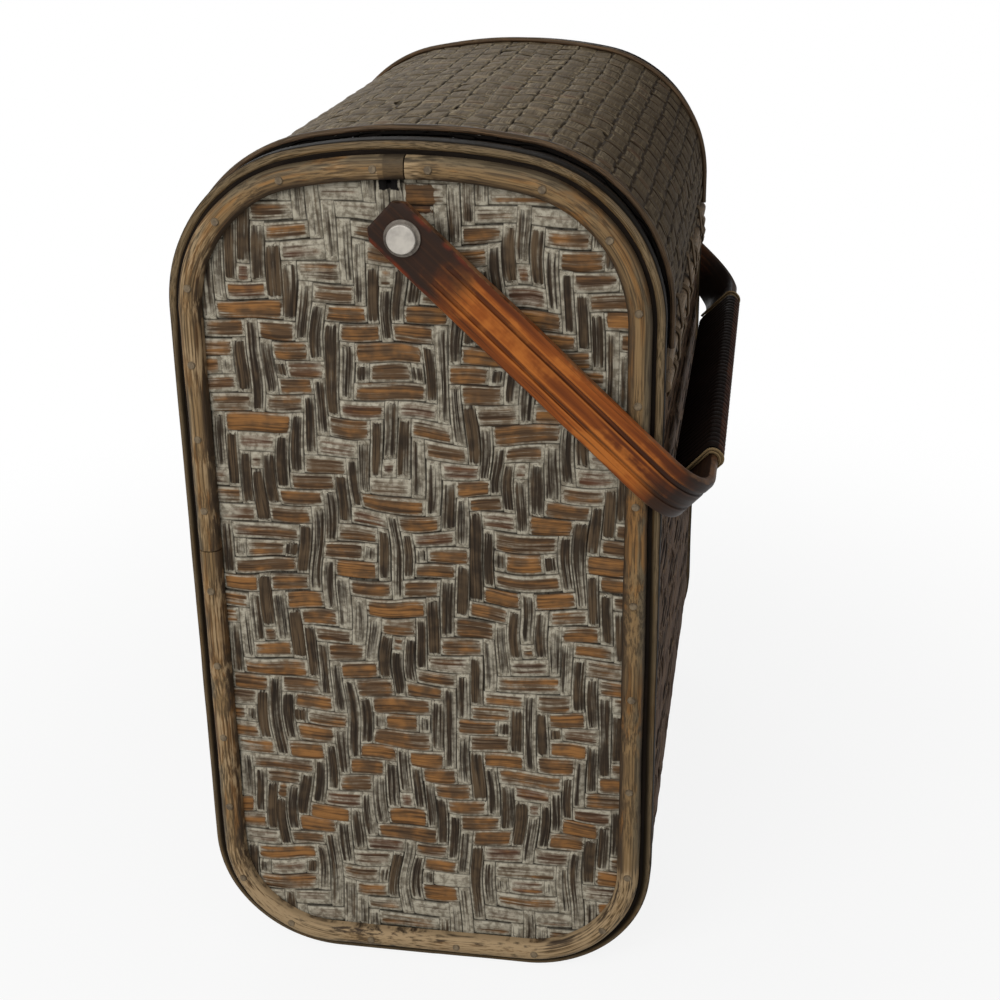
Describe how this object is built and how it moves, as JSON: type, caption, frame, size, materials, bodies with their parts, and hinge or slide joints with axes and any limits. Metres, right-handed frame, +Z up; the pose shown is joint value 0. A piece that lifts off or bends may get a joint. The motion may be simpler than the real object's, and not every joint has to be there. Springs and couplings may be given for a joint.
{
  "type": "wicker basket purse",
  "caption": "Tall woven cane basket with twill end panels, nailed half-round rims, a hinged arched lid and a bent strap handle wound with cane that swings on rivets.",
  "frame": {"origin": "on the surface that the basket stands on, under the middle of the whole purse with its handle hanging at its right side", "axes": "+Z up, +Y along the grip from the front panel to the back one (the front faces -Y), +X to the right, towards the lid's hinge and the resting grip"},
  "size_m": [0.1704, 0.2578, 0.2822],
  "materials": {
    "twill_weave": "aged split cane, satin",
    "wall_weave": "aged split cane, satin",
    "lid_weave": "aged split cane, dusty satin",
    "rim_cane": "varnished cane, worn satin",
    "edge_cane": "aged cane, satin",
    "inner_cane": "plain split cane, dull",
    "border_cane": "aged cane, satin",
    "binding_cane": "thin flat cane, satin",
    "strap_wood": "polished by the hand, half gloss",
    "wrap_cane": "fine cane winding, satin",
    "brad_steel": "dull, slightly rusty",
    "rivet_metal": "dull, scuffed",
    "washer_metal": "dull, tarnished"
  },
  "bodies": {
    "basket": {"front_panel": "twill_weave", "front_rim_long": "rim_cane", "front_rim_short": "rim_cane", "front_rim_brads": "brad_steel", "front_edge_band": "edge_cane", "front_inner_band": "inner_cane", "front_rivet": "rivet_metal", "front_head_washer": "washer_metal", "front_spacer": "washer_metal", "front_burr": "rivet_metal", "back_panel": "twill_weave", "back_rim_long": "rim_cane", "back_rim_short": "rim_cane", "back_rim_brads": "brad_steel", "back_edge_band": "edge_cane", "back_inner_band": "inner_cane", "back_rivet": "rivet_metal", "back_head_washer": "washer_metal", "back_spacer": "washer_metal", "back_burr": "rivet_metal", "side_wall": "wall_weave", "hinge_rod": "border_cane", "left_border_rod": "border_cane", "hinge_rod_ties": "binding_cane", "left_border_ties": "binding_cane"},
    "lid": {"lid_weave": "lid_weave", "lid_front_rib": "inner_cane", "lid_back_rib": "inner_cane", "lid_hinge_batten": "border_cane", "lid_closing_batten": "border_cane", "lid_hinge_ties": "binding_cane", "lid_closing_ties": "binding_cane", "hinge_loops": "binding_cane"},
    "handle": {"handle_strap": "strap_wood", "grip_wrap": "wrap_cane", "grip_ties": "wrap_cane"}
  },
  "joints": [
    {"name": "lid_hinge", "type": "hinge", "parent": "basket", "child": "lid", "pos_m": [0.06671, 0, 0.2093], "axis": [0, 1, 0], "range_deg": [0, 110]},
    {"name": "handle_pivot", "type": "hinge", "parent": "basket", "child": "handle", "pos_m": [-0.00769, 0, 0.256], "axis": [0, -1, 0], "range_deg": [0, 267.2]}
  ]
}
